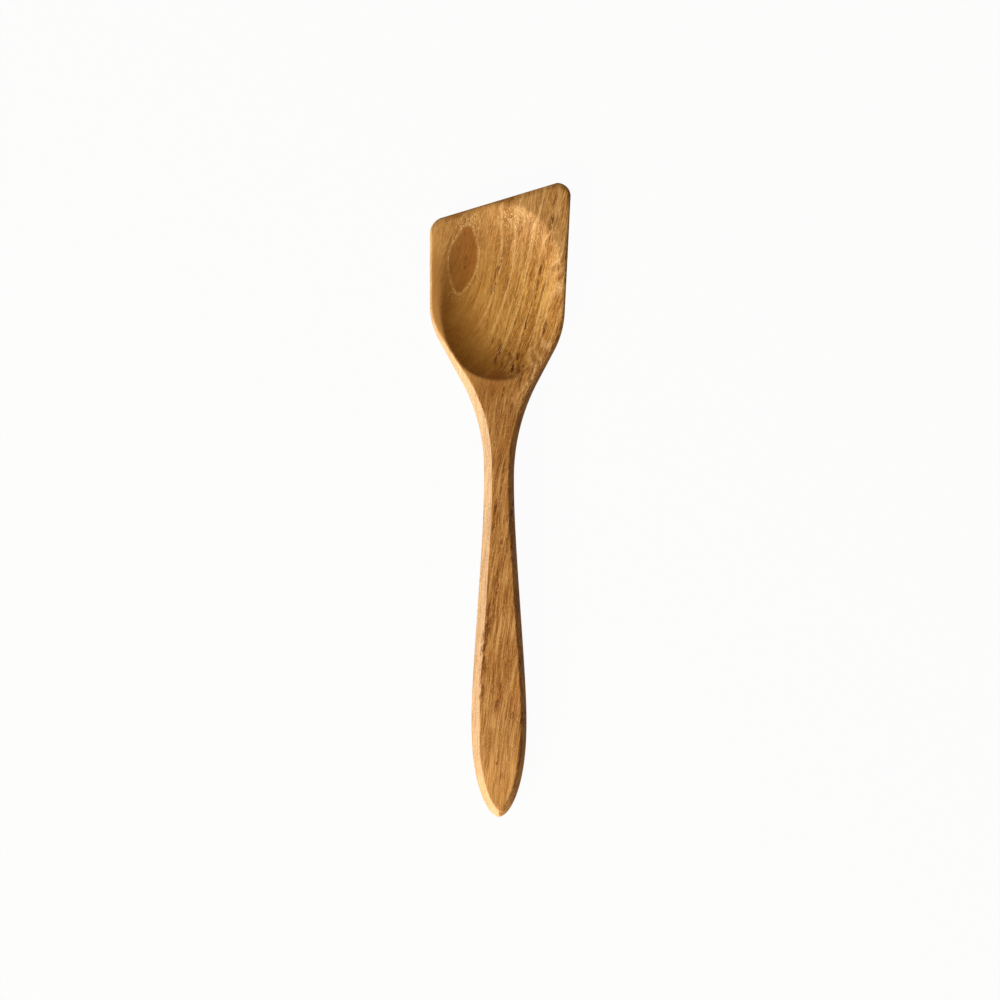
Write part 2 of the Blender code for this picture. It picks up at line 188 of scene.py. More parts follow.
def roundedPath(corners, steps=fineness["arcSteps"]):
    path = [np.array(corners[0][:2])]
    last = len(corners) - 1
    # the share of a run that an arc may take, where it has the run to itself and where it hasn't
    alone, shared = 0.95, 0.48
    for i in range(1, last):
        before, corner, after = (np.array(corners[j][:2]) for j in (i - 1, i, i + 1))
        runIn, runOut = np.linalg.norm(corner - before), np.linalg.norm(after - corner)
        wayIn, wayOut = (corner - before) / runIn, (after - corner) / runOut
        turn = math.acos(float(np.clip(wayIn @ wayOut, -1.0, 1.0)))
        room = min(runIn * (alone if i == 1 else shared), runOut * (alone if i == last - 1 else shared))
        tangent = min(corners[i][2] * math.tan(turn / 2), room)
        radius = tangent / math.tan(turn / 2)
        side = wayOut - wayIn * (wayIn @ wayOut)
        side /= np.linalg.norm(side)
        start = corner - wayIn * tangent
        for angle in np.linspace(0.0, turn, steps + 1):
            path.append(start + wayIn * radius * math.sin(angle) + side * radius * (1 - math.cos(angle)))
    path.append(np.array(corners[last][:2]))
    return np.array(path)


def handleEdge(steps=90):
    swell, neck = s["swellWidth"] / 2, s["neckWidth"] / 2
    along = 1 - np.cos(np.pi / 2 * np.arange(1, steps + 1) / steps)
    half = swell * (1 - (1 - along) ** s["tipRoundness"]) ** s["tipBluntness"]
    tip = np.stack([half, s["tipToSwell"] * along], axis=1)
    t = np.arange(1, steps) / steps
    a, b, c, d = (1 - t) ** 3, 3 * (1 - t) ** 2 * t, 3 * (1 - t) * t * t, t**3
    x = swell * (a + b) + neck * (c + d)
    y = s["tipToSwell"] * (a + b) + s["swellEase"] * b + neckY * (c + d) - s["neckEase"] * c
    return np.vstack([tip, np.stack([x, y], axis=1)])


leftCorners = sideCorners(
    -1, s["leftReach"], s["leftFlare"], s["leftShoulder"], 0.0, s["leftRadii"])
rightCorners = sideCorners(
    1, s["rightReach"], s["rightFlare"], s["rightShoulder"], s["rightLean"], s["rightRadii"])
grip = handleEdge()
tipPoint = np.array([[0.0, 0.0]])
head = roundedPath(leftCorners + rightCorners[::-1])
outline = np.vstack([tipPoint, grip * (-1, 1), head, grip[::-1], tipPoint])
length = outline[:, 1].max()
middleX = (outline[:, 0].min() + outline[:, 0].max()) / 2
runs = np.diff(outline, axis=0)
runLengths = np.linalg.norm(runs, axis=1)
frontFacing = runs[:, 0] / runLengths


def runOn(corners):
    # a side that goes on past the front edge, for the hollow of the blade's back
    shoulder, front = np.array(corners[2][:2]), np.array(corners[3][:2])
    return roundedPath(corners[:3] + [(*(2 * front - shoulder), 0.0)])


leftSide = np.vstack([tipPoint, grip * (-1, 1), runOn(leftCorners)])
rightSide = np.vstack([tipPoint, grip, runOn(rightCorners)])


def edgeX(path, y):
    return np.interp(y, path[:, 1], path[:, 0])


def squareShare(path, y, step=0.2):
    slope = (edgeX(path, y + step) - edgeX(path, y - step)) / (2 * step)
    return 1 / np.sqrt(1 + slope * slope)


def edgeDistance(x, y):
    # distance to the outline, and how much the nearest stretch of it faces the front
    distance, facing = np.empty(len(x)), np.empty(len(x))
    batch = 20000
    for start in range(0, len(x), batch):
        part = slice(start, start + batch)
        offset = np.stack([x[part], y[part]], axis=-1)[:, None, :] - outline[:-1]
        along = np.clip((offset * runs).sum(-1) / runLengths**2, 0.0, 1.0)
        gap = np.linalg.norm(offset - runs * along[..., None], axis=-1)
        nearest = gap.argmin(axis=1)
        distance[part] = gap[np.arange(len(gap)), nearest]
        facing[part] = frontFacing[nearest]
    return distance, facing


# Heights over the outline
def bladeShare(y):
    return smoothStep(y, heelY - s["fadeBeforeHeel"], heelY + s["fadePastHeel"])


def topHeight(y):
    return smoothCurve(y, [
        (0.0, s["tipTop"], s["tipSlope"]),
        (s["tipToSwell"], s["swellTop"], s["swellSlope"]),
        (neckY, s["neckTop"], 0.0),
        (heelY, s["heelTop"], bladeSlope),
    ])


def bellyHeight(y):
    return smoothCurve(y, [
        (0.0, s["tipUnder"], s["underTipSlope"]),
        (s["restStart"], 0.0, 0.0),
        (s["restStart"] + s["restLength"], 0.0, 0.0),
        (neckY, s["neckUnder"], 0.0),
        (heelY + s["bellyStart"], 0.0, 0.0),
    ])


def bevelRoom(y):
    thickness = topHeight(y) - bellyHeight(y)
    return np.minimum(1.0, s["mostBevelled"] * thickness / (s["bevelDrop"] + s["underRise"]))


def handWave(x, y, longer):
    total = sum(strength * np.sin(y / (long * longer) + x * skew + start)
                for long, skew, start, strength in waves)
    return total / sum(wave[3] for wave in waves)


def bevelWidth(x, y, facing):
    handle = np.where(x < 0, s["leftBevel"], s["rightBevel"])
    handle = mix(s["tipBevel"], handle, smoothStep(y, s["tipBevelLength"], s["tipToSwell"]))
    blade = mix(s["bladeBevel"], s["frontBevel"], smoothStep(facing, 0.0, 1.0))
    wave = handWave(x * s["bevelWaveSkew"], y, s["bevelWaveStretch"])
    wavy = 1 + s["bevelWaviness"] * wave * (1 - bladeShare(y))
    return mix(handle * wavy, blade, bladeShare(y))


def dishHeight(x, y):
    lean = math.radians(bowl["lean"])
    dx, dy = x - bowl["x"], y - bowl["y"]
    across = (dx * math.cos(lean) - dy * math.sin(lean)) / bowl["across"]
    along = (dx * math.sin(lean) + dy * math.cos(lean)) / bowl["along"]
    power = bowl["squareness"]
    share = (np.abs(across) ** power + np.abs(along) ** power) ** (1 / power)
    # steep at the heel and gentle towards the lip
    toLip = 0.5 + 0.5 * along / np.maximum(share, 1e-6)
    fullness = mix(bowl["heelFullness"], bowl["lipFullness"], toLip)
    plane = s["heelTop"] + bladeSlope * (y - heelY)
    return plane + bowl["depth"] * (share**fullness - 1), dx / bowl["across"], dy / bowl["along"]


def edgeRound(y):
    return mix(s["edgeRound"], s["bladeEdgeRound"], bladeShare(y))


def rounding(distance, y, room):
    # how far the surface drops where the edge is rounded over
    radius = np.minimum(edgeRound(y), room)
    near = np.clip(radius - distance, 0.0, radius)
    return radius - np.sqrt(radius * radius - near * near)


def upperSurface(x, y, distance, facing):
    width = bevelWidth(x, y, facing)
    drop = mix(s["bevelDrop"] * bevelRoom(y), s["bladeBevelDrop"], bladeShare(y))
    near = softPositive(1 - distance / width, s["creaseRound"])
    surface = topHeight(y) - drop * near
    wave = 0.5 + 0.5 * handWave(x, y, s["waveStretch"])
    surface -= s["handWaviness"] * wave * smoothStep(distance, 0.0, s["calmEdge"])
    dish, aside, ahead = dishHeight(x, y)
    crisp = smoothStep(aside, *bowl["crispAside"]) * smoothStep(ahead, *bowl["crispAhead"])
    soft = np.maximum(smoothStep(ahead, *bowl["softAhead"]), smoothStep(aside, *bowl["softAside"]))
    softest = smoothStep(ahead, *bowl["softestAhead"]) * smoothStep(-aside, *bowl["softestLeft"])
    rim = mix(mix(bowl["crispRim"], bowl["softRim"], soft * (1 - crisp)), bowl["softestRim"], softest)
    return softLower(surface, dish, rim)


def lowerSurface(x, y):
    blade = bladeShare(y)
    left = (x - edgeX(leftSide, y)) * squareShare(leftSide, y)
    right = (edgeX(rightSide, y) - x) * squareShare(rightSide, y)
    width = mix(s["underBevel"], s["bladeUnderWidth"], blade)
    nearLip = np.clip(1 - frontDistance(x, y) / s["lipUnderWidth"], 0.0, 1.0)
    nearSides = (
        np.clip(softPositive(1 - gap / width, s["underCreaseRound"]), 0.0, 1.0) for gap in (left, right))
    # the three edges' shares run into each other round the blade's corners
    near = np.minimum((sum(share**4 for share in nearSides) + nearLip**4) ** 0.25, 1.0)
    low = bellyHeight(y)
    handleEdgeHeight = low + s["underRise"] * bevelRoom(y)
    thickness = mix(s["sideThickness"], s["lipThickness"], nearLip**2)
    bladeEdgeHeight = topHeight(y) - s["bladeBevelDrop"] - thickness
    edgeHeight = mix(handleEdgeHeight, bladeEdgeHeight, blade)
    return low + (edgeHeight - low) * near ** mix(1.0, s["underRoundness"], blade)


# The cross-sections turn from square to the handle to parallel with the front edge
def sectionTilt(y):
    return slant * smoothStep(y, heelY - s["tiltBeforeHeel"], heelY + s["tiltPastHeel"])


def crossing(path, y, tilt):
    level = path[:, 1] - path[:, 0] * math.tan(tilt)
    level = np.maximum.accumulate(level)
    return np.array([np.interp(y, level, path[:, 0]), np.interp(y, level, path[:, 1])])


def sectionPlaces():
    nearEdge = np.array(fineness["fromEnds"])
    frontLevel = bowl["y"] + bowl["toFront"] / math.cos(slant) - bowl["x"] * math.tan(slant)
    tipEnd, bladeStart = fineness["tipEnd"], heelY - fineness["bladeStart"]
    divisions = (
        (nearEdge[-1], tipEnd, fineness["tipStep"]), (tipEnd, bladeStart, fineness["handleStep"]),
        (bladeStart, frontLevel - nearEdge[-1], fineness["bladeStep"]),
    )
    places = [nearEdge[:-1]]
    for start, end, step in divisions:
        places.append(np.arange(start, end - step / 2, (end - start) / round((end - start) / step)))
    places.append(frontLevel - nearEdge[::-1])
    return np.concatenate(places)


def spread(width, count):
    # points across a section, closest together where the edges are rounded over
    nearEdge = np.array(fineness["fromSides"]) * min(1.0, width / fineness["narrow"])
    inner = np.linspace(nearEdge[-1], width - nearEdge[-1], count - 2 * len(nearEdge) + 2)
    return np.concatenate([nearEdge[:-1], inner, width - nearEdge[:-1][::-1]]) / width


def carveSpatula():
    count, sideSteps = fineness["across"], fineness["sideSteps"]
    places = sectionPlaces()
    top = int(np.argmax(outline[:, 1]))
    # the path turns back a little after its highest point, down the front edge to the left corner
    cornerPoint = head[3 * (fineness["arcSteps"] + 1)]
    cornerEnd = int(np.argmin(np.abs(outline - cornerPoint).sum(axis=1)))
    leftPath, rightPath = outline[: cornerEnd + 1], outline[top:][::-1]
    xs, ys = [], []
    for place in places:
        tilt = sectionTilt(place)
        left, right = crossing(leftPath, place, tilt), crossing(rightPath, place, tilt)
        share = spread(np.linalg.norm(right - left), count)
        xs.append(mix(left[0], right[0], share))
        ys.append(mix(left[1], right[1], share))
    x, y = np.array(xs), np.array(ys)
    distance, facing = edgeDistance(x.ravel(), y.ravel())
    flatX, flatY = x.ravel(), y.ravel()
    upper = upperSurface(flatX, flatY, distance, facing)
    lower = lowerSurface(flatX, flatY)
    room = np.maximum(upper - lower, s["leastThickness"]) * s["mostRounded"]
    upper = (upper - rounding(distance, flatY, room)).reshape(x.shape)
    lower = (lower + rounding(distance, flatY, room)).reshape(x.shape)
    # each section runs over the top, down the right side, back underneath and up the left side
    shares = [step / (sideSteps + 1) for step in range(1, sideSteps + 1)]
    side = [np.stack([x, y, mix(upper, lower, share)], axis=-1) for share in shares]
    strips = [np.stack([x, y, upper], axis=-1)] + [strip[:, -1:] for strip in side]
    strips += [np.stack([x, y, lower], axis=-1)[:, ::-1]] + [strip[:, :1] for strip in reversed(side)]
    return (np.concatenate(strips, axis=1) - (middleX, length / 2, 0.0)) * mm


def skin(name, points):
    rows, around = points.shape[:2]
    count, sideSteps = fineness["across"], fineness["sideSteps"]
    mesh = bmesh.new()
    verts = [mesh.verts.new(point) for point in points.reshape(-1, 3)]
    for row in range(rows - 1):
        here, after = row * around, (row + 1) * around
        for i in range(around):
            j = (i + 1) % around
            mesh.faces.new((verts[here + i], verts[here + j], verts[after + j], verts[after + i]))
    for row in (0, rows - 1):
        first = row * around
        over = [first + i for i in range(count)]
        under = [first + 2 * count + sideSteps - 1 - i for i in range(count)]
        left = [first + (2 * count + 2 * sideSteps - step) % around for step in range(0, sideSteps + 1)]
        right = [first + count - 1 + step for step in range(0, sideSteps + 1)]
        grid = [over]
        for step in range(1, sideSteps + 1):
            shares = [mesh.verts.new(verts[a].co.lerp(verts[b].co, step / (sideSteps + 1)))
                      for a, b in zip(over[1:-1], under[1:-1])]
            grid.append([verts[left[step]]] + shares + [verts[right[step]]])
        grid[0] = [verts[i] for i in over]
        grid.append([verts[i] for i in under])
        for upperRow, lowerRow in zip(grid, grid[1:]):
            for i in range(count - 1):
                mesh.faces.new((upperRow[i], upperRow[i + 1], lowerRow[i + 1], lowerRow[i]))
    bmesh.ops.recalc_face_normals(mesh, faces=mesh.faces)
    data = bpy.data.meshes.new(name)
    mesh.to_mesh(data)
    mesh.free()
    data.shade_smooth()
    piece = bpy.data.objects.new(name, data)
    bpy.context.scene.collection.objects.link(piece)
    return piece


carved = skin("carved_spatula", carveSpatula())
print("carved:", len(carved.data.polygons), "faces,", [round(v * 1000, 2) for v in carved.dimensions])


# The wood
class Wire:
    # a socket that works in sums, so that shader maths reads as it would on paper
    def __init__(self, tree, socket):
        self.tree = tree
        self.socket = socket

    def node(self, kind, settings=None, inputs=None, output=0):
        made = self.tree.nodes.new(kind)
        for name, value in (settings or {}).items():
            if name == "stops":
                ramp = made.color_ramp
                while len(ramp.elements) < len(value):
                    ramp.elements.new(1.0)
                for element, (place, colour) in zip(ramp.elements, value):
                    element.position = place
                    element.color = colour if isinstance(colour, tuple) else (colour, colour, colour, 1.0)
            else:
                setattr(made, name, value)
        for name, value in (inputs or {}).items():
            if isinstance(value, Wire):
                self.tree.links.new(value.socket, made.inputs[name])
            else:
                made.inputs[name].default_value = value
        return Wire(self.tree, made.outputs[output])

    def maths(self, operation, first, second):
        return self.node("ShaderNodeMath", {"operation": operation}, {0: first, 1: second})

    def __add__(self, other):
        return self.maths("ADD", self, other)

    def __radd__(self, other):
        return self.maths("ADD", other, self)

    def __sub__(self, other):
        return self.maths("SUBTRACT", self, other)

    def __rsub__(self, other):
        return self.maths("SUBTRACT", other, self)

    def __mul__(self, other):
        return self.maths("MULTIPLY", self, other)

    def __rmul__(self, other):
        return self.maths("MULTIPLY", other, self)

    def larger(self, other):
        return self.maths("MAXIMUM", self, other)

    def rise(self, start, end, low=0.0, high=1.0):
        # low up to start and high from end on, with a smooth climb between
        return self.node(
            "ShaderNodeMapRange", {"interpolation_type": "SMOOTHSTEP"},
            {"Value": self, "From Min": start, "From Max": end, "To Min": low, "To Max": high})

    def fall(self, start, end):
        return self.rise(start, end, 1.0, 0.0)


teak = {
    "light": (0.66, 0.345, 0.110, 1.0), "middle": (0.445, 0.190, 0.044, 1.0),
    "deep": (0.235, 0.082, 0.014, 1.0), "redBrown": (0.32, 0.116, 0.021, 1.0),
    # the second colour on the next line is the painted highlight of the left facets
    "pale": (0.86, 0.55, 0.24, 1.0), "highlightColour": (0.84, 0.60, 0.37, 1.0),
    "dark": (0.120, 0.034, 0.006, 1.0), "vessel": (0.150, 0.052, 0.010, 1.0),
    "rust": (0.46, 0.150, 0.030, 1.0),
    "handleTint": (0.85, 0.87, 0.92, 1.0), "tipTint": (1.05, 1.13, 1.25, 1.0),
    "headTint": (1.05, 1.17, 1.35, 1.0), "bowlTint": (1.05, 1.14, 0.98, 1.0),
    # the tones that take the deep, middle and light colours
    "deepTone": 0.20, "middleTone": 0.50, "lightTone": 0.82,
    # how strongly each layer of the figure shows, and how much the blade adds or takes away
    "grit": 0.32, "pores": 0.50, "threads": 0.92, "fibres": 1.08, "rings": 0.54, "bands": 0.45,
    "bladeAddsPores": 0.8, "bladeTakesFibres": 0.22,
    "gritFineness": 2.2, "bowlMiddle": 0.06, "neckCalm": 0.18, "leftCalm": 0.65, "tipLively": 0.6,
    "rustShare": 0.6, "paleShare": 0.95, "thinShare": 0.4, "vesselShare": 0.75,
    # the left facets, painted paler as a highlight of the light from the left, broken up by the fibres
    # and a speckle, and their pits
    "highlightShare": 0.46, "highlightOnBlade": 1.25, "highlightFibres": 1.6, "highlightSpeckle": 1.8,
    "highlightLeast": 0.7, "pitShare": 0.5, "speckleAcross": 1.5, "speckleAlong": 0.9,
    # the surface, with the bump's distance in metres
    "rough": 0.50, "roughFibres": 0.3, "roughDashes": 0.1, "specular": 0.09,
    "poreHeight": 0.5, "fibreHeight": 0.4, "dashDepth": 0.5, "fleckDepth": 0.15,
    "bumpStrength": 0.22, "bumpDistance": 0.00025,
}

# How the grain runs: how far it leans to the right with each millimetre up the spatula, how far and
# how finely it wanders, and how far it leans with each millimetre of height, on the handle and under
# the blade
grain = {
    "slope": 0.19, "wander": 9.0, "wanderAcross": 0.03, "wanderAlong": 0.016,
    "dipLevel": 5.0, "handleDip": 1.1, "bladeDip": 0.3, "depthShare": 0.4,
}

# Streaks along the grain: (how many a millimetre across and along it, detail, seed, roughness)
streakKinds = {
    "jitter": (1.0, 0.25, 2.0, 9.0, 0.5), "pores": (2.6, 0.36, 1.0, 31.0, 0.6),
    "threads": (2.0, 0.055, 1.0, 33.0, 0.5), "fibres": (0.80, 0.045, 2.0, 37.0, 0.65),
    "bands": (0.14, 0.016, 2.0, 43.0, 0.5), "dots": (2.7, 0.9, 1.0, 53.0, 0.65),
    "dashes": (1.9, 0.085, 2.0, 61.0, 0.6), "ragged": (1.5, 0.45, 2.0, 67.0, 0.65),
}

# From which value to which each noise turns into marks
cuts = {
    "dotted": (0.45, 0.57), "crowded": (0.50, 0.62), "thin": (0.58, 0.70), "dashes": (0.55, 0.62),
    "lateWood": (0.40, 0.60), "pits": (0.30, 0.38), "ragged": (0.42, 0.50),
}

# Which faces count as upper ones and as left facets, from their direction upwards and to the right;
# at the tip the facet turns to face the tip too, by this share
facets = {"up": (-0.1, 0.1), "left": (-0.62, -0.30), "tipShare": 0.5, "leftHalf": (0.0, 6.0)}

# Stretches of y over which the wood changes
stretches = {
    "tipFacet": (-140.0, -110.0), "tip": (-135.0, -105.0), "tipColour": (-135.0, -112.0),
    "leftFacet": (-30.0, 15.0), "neckStart": (-15.0, 5.0), "neckEnd": (28.0, 40.0),
    "blade": (35.0, 62.0), "dip": (75.0, 130.0), "bowlColour": (98.0, 132.0),
}

# The number of the growth ring that a place lies in. On the blade it is the height and a sum in
# centimetres that was fitted to the blade's ring lines, with y from "ahead0" on. On the handle the
# rings lie in a plain slope.
growthRings = {
    "first": 0.0, "last": 24.0, "jitter": 0.55,
    "ahead0": 10.0, "across": 5.07, "ahead": 0.956,
    "acrossAcross": 0.127, "acrossUp": 1.945, "upUp": 3.817,
    "handleSlope": 0.20, "handleAcross": 0.36, "handleUp": 0.12, "handle0": 12.0,
    "handleWander": 4.0,
    # the rings over which the blade's figure gets livelier, and how lively it is before and after
    "lively": (1.0, 10.0), "liveliness": (0.45, 0.80),
    # the bands of early and late wood between them
    "bandsAcross": 1.25, "bandJitter": 0.6, "bandsAlong": 0.035, "bandsUp": 0.05,
    "bandDetail": 2.0, "bandRoughness": 0.6,
}

# Growth rings that show as pale porous lines on the blade: (ring number, strength, half width)
paleRings = [
    (2.85, 0.8, 0.34), (5.36, 1.0, 0.36), (7.0, 0.55, 0.22), (8.68, 1.0, 0.36), (11.1, 0.8, 0.28),
    (13.5, 0.9, 0.26), (14.1, 0.8, 0.18), (14.7, 1.0, 0.24), (17.6, 0.45, 0.28), (21.0, 0.35, 0.3),
]

# The plane of the blade's upper face: its height where the bowl starts, and how steeply it falls;
# a place that lies as far under it as "sunk" is in the bowl
blade = {"start": 56.4, "height": 16.27, "slope": 0.0565, "sunk": (0.6, 2.6)}

# The plain part of the blade, left of a line that crosses the middle at y and slants to the left
plainPart = {"y": 60.0, "slope": 0.55, "edge": (-2.0, 9.0), "rightEnd": (2.0, 12.0)}

# The lighter oval in the middle of the bowl's floor: 1 over the squares of its half sizes
floorSpot = {"y": 102.0, "across": 0.004, "along": 0.0014}

# The small ring in the bowl's left wall: its middle, half sizes and lean, how pointed its ends are,
# how its edge wobbles and how soft it is, and from where to where across it the red-brown deepens
knot = {
    "x": -17.4, "y": 114.0, "across": 6.0, "along": 15.6, "lean": 8.5, "pointedness": 0.0016,
    "wobbleAcross": 0.4, "wobbleAlong": 0.6, "edge": 0.30,
    "deepens": (-4.0, 2.0), "redShares": (0.42, 0.68),
    # how far outside it the pale ring round it lies, and the pores and lines round that start
    "paleStart": (0.5, 1.0), "paleEnd": (1.2, 1.9), "linesStart": (1.0, 4.0),
    "crowdedStart": (-0.2, 0.6), "thinStart": (-0.5, 0.5),
}

# Dark flecks and streaks: (x, y, length, width, strength), with y from the middle of the spatula
flecks = [
    (24.4, 131.5, 8.5, 2.1, 0.85), (23.4, 124.5, 3.5, 1.2, 0.6), (21.9, 121.5, 4.0, 1.5, 0.6),
    (26.9, 132.5, 4.0, 1.4, 0.55), (25.8, 141.5, 7.0, 1.0, 0.6), (20.6, 113.5, 3.0, 0.9, 0.55),
    (19.0, 108.5, 6.5, 1.5, 0.9), (17.9, 103.0, 4.5, 1.5, 0.8), (17.3, 99.0, 4.0, 1.3, 0.85),
    (16.7, 96.5, 3.5, 0.9, 0.7), (12.9, 86.5, 4.5, 0.8, 0.75), (12.1, 83.0, 6.0, 0.9, 0.95),
    (10.5, 77.0, 5.0, 0.8, 0.75), (9.2, 72.5, 4.0, 0.9, 0.75), (8.4, 68.5, 5.5, 1.7, 1.0),
    (5.8, 62.2, 5.0, 1.5, 1.0), (9.6, 56.0, 9.0, 1.2, 0.75), (4.4, 69.0, 2.2, 0.8, 0.8),
    (0.8, 64.5, 2.2, 0.9, 0.9), (-0.2, 71.5, 7.0, 1.5, 0.85), (-2.0, 66.5, 6.0, 1.8, 0.85),
    (0.4, 113.0, 9.0, 0.7, 0.8), (-0.6, 104.5, 6.0, 0.7, 0.8), (-2.4, 101.5, 4.0, 0.8, 0.7),
    (-4.6, 90.0, 7.0, 0.7, 0.6), (-6.5, 84.0, 5.0, 0.7, 0.6), (-3.5, 76.0, 5.0, 0.7, 0.6),
    (9.0, 60.5, 2.6, 1.0, 0.9), (5.6, 66.0, 4.0, 0.8, 0.7), (19.5, 88.0, 6.0, 0.8, 0.6),
    (10.9, 63.5, 2.0, 1.0, 0.8), (21.0, 81.5, 9.0, 1.9, 0.85), (18.6, 74.5, 5.0, 1.4, 0.6),
    (15.0, 74.5, 5.0, 0.9, 0.55), (21.6, 69.0, 4.0, 1.1, 0.5), (15.6, 62.5, 6.0, 0.9, 0.6),
    (13.7, 57.0, 6.0, 0.9, 0.6), (1.2, 141.6, 2.0, 2.0, 0.6), (2.5, 131.3, 1.2, 0.9, 0.8),
    (18.7, 131.3, 1.3, 0.9, 0.8), (-3.2, 99.0, 1.6, 1.0, 1.0), (3.6, 118.5, 8.0, 0.8, 0.5),
    (5.4, 124.0, 5.0, 0.9, 0.45), (1.0, 109.0, 7.0, 0.8, 0.45), (-1.4, 104.0, 6.0, 0.7, 0.45),
    (1.6, 51.5, 7.0, 0.9, 0.75), (1.6, 118.5, 9.0, 0.9, 0.55), (-0.6, 110.5, 9.0, 1.0, 0.75),
    (-2.2, 107.0, 9.0, 0.9, 0.65), (-3.8, 100.5, 8.0, 0.8, 0.5), (7.2, 96.0, 8.0, 1.0, 0.65),
    (6.0, 90.0, 7.0, 0.9, 0.55), (-16.6, 110.2, 2.2, 0.8, 0.8), (-16.3, 113.5, 6.0, 2.4, 0.35),
    # neck and handle
    (5.3, 43.0, 7.0, 1.2, 0.6), (4.4, 34.0, 8.0, 1.0, 0.55), (-2.7, 26.0, 1.4, 0.9, 0.7),
    (1.8, 16.0, 9.0, 1.2, 0.65), (0.6, 6.5, 9.0, 1.1, 0.6), (-2.4, -4.0, 9.0, 1.5, 0.85),
    (-3.2, -13.0, 5.0, 1.1, 0.65), (3.4, -8.0, 6.0, 1.0, 0.55), (5.2, -6.0, 15.0, 1.5, 1.0),
    (0.3, -21.5, 7.0, 1.3, 0.55), (-1.4, -36.0, 8.0, 1.2, 0.55), (-1.5, -42.5, 7.0, 1.3, 0.95),
    (-3.2, -48.5, 5.0, 0.9, 0.85), (-4.5, -56.5, 6.0, 1.1, 0.55), (-5.4, -62.0, 6.0, 1.1, 0.75),
    (-7.4, -69.0, 8.0, 1.5, 0.95), (-6.4, -60.0, 9.0, 1.6, 0.9), (-8.3, -64.5, 6.0, 1.5, 0.7),
    (-5.6, -52.0, 8.0, 1.3, 0.8), (-6.9, -64.5, 6.0, 1.3, 0.9), (-8.0, -79.5, 6.0, 1.3, 0.75),
    (-8.5, -90.0, 7.0, 1.3, 0.6), (-8.9, -71.0, 6.0, 1.3, 0.7), (-9.4, -86.0, 6.0, 1.2, 0.6),
    (-7.9, -75.0, 6.0, 1.5, 0.95), (-9.0, -83.0, 7.0, 1.3, 0.65), (-0.1, -89.0, 7.0, 1.1, 0.75),
    (-1.7, -97.0, 7.0, 1.6, 0.85), (5.9, -101.5, 4.5, 1.1, 0.75), (2.6, -103.0, 5.0, 1.1, 0.55),
    (-7.7, -105.0, 6.0, 1.4, 0.6), (-9.3, -92.0, 6.0, 1.0, 0.6), (-1.8, -124.3, 1.8, 1.3, 0.75),
    (0.6, -130.5, 4.0, 1.2, 0.45), (2.9, -77.0, 6.0, 1.2, 0.5), (-9.4, -80.0, 1.6, 1.0, 0.4),
    (-9.1, -34.5, 1.2, 0.9, 0.45), (-9.4, -38.0, 1.4, 1.2, 0.4),
]

# Where pale pores crowd, in the same terms
paleSpots = [
    (-14.5, 131.0, 12.0, 14.0, 0.8), (7.0, 134.0, 12.0, 22.0, 0.75), (25.8, 112.0, 24.0, 6.0, 0.6),
    (25.0, 127.0, 4.0, 2.4, 1.0), (17.5, 126.0, 18.0, 5.0, 0.4), (-21.0, 97.0, 8.0, 8.0, 0.4),
    (22.0, 88.0, 26.0, 7.0, 0.18),
]

# Where it is made deeper in colour: partly deeper-coloured wood, and partly painted shade along the right
# edge and shoulder, which face away from the light, and over a bright patch on the bowl's lower right rim
shadeAndDarkSpots = [
    (17.0, 73.0, 46.0, 28.0, 0.04), (1.0, 54.0, 15.0, 34.0, 0.11), (20.0, 100.0, 40.0, 18.0, 0.05),
    (29.5, 106.0, 62.0, 6.0, 0.26), (14.0, 58.0, 20.0, 14.0, 0.06), (22.5, 73.0, 18.0, 10.0, 0.16),
    (20.5, 62.0, 20.0, 10.0, 0.28), (26.0, 76.0, 24.0, 7.0, 0.18), (1.5, 41.0, 22.0, 16.0, 0.06),
    (-30.5, 102.0, 34.0, 7.0, 0.09), (-5.9, -55.0, 14.0, 2.8, 0.16), (-7.0, -67.0, 14.0, 3.0, 0.20),
    (-8.0, -79.0, 14.0, 2.8, 0.18), (-8.9, -91.0, 12.0, 2.6, 0.14),
]

# Where it is lighter
lightSpots = [
    (-28.0, 125.0, 30.0, 14.0, 0.13), (20.0, 139.0, 22.0, 34.0, 0.07), (0.0, 137.5, 9.0, 34.0, 0.07),
]

# Where it is rusty
rustSpots = [
    (7.0, -92.0, 24.0, 5.0, 0.4), (4.0, -5.5, 12.0, 3.0, 0.5), (-1.0, 56.0, 12.0, 8.0, 0.35),
    (1.5, 27.0, 12.0, 4.0, 0.3), (-1.5, -42.0, 8.0, 3.0, 0.4), (-0.9, -93.0, 16.0, 2.6, 0.7),
    (-1.2, 69.0, 14.0, 3.4, 0.45), (8.0, 67.0, 10.0, 3.0, 0.4),
]


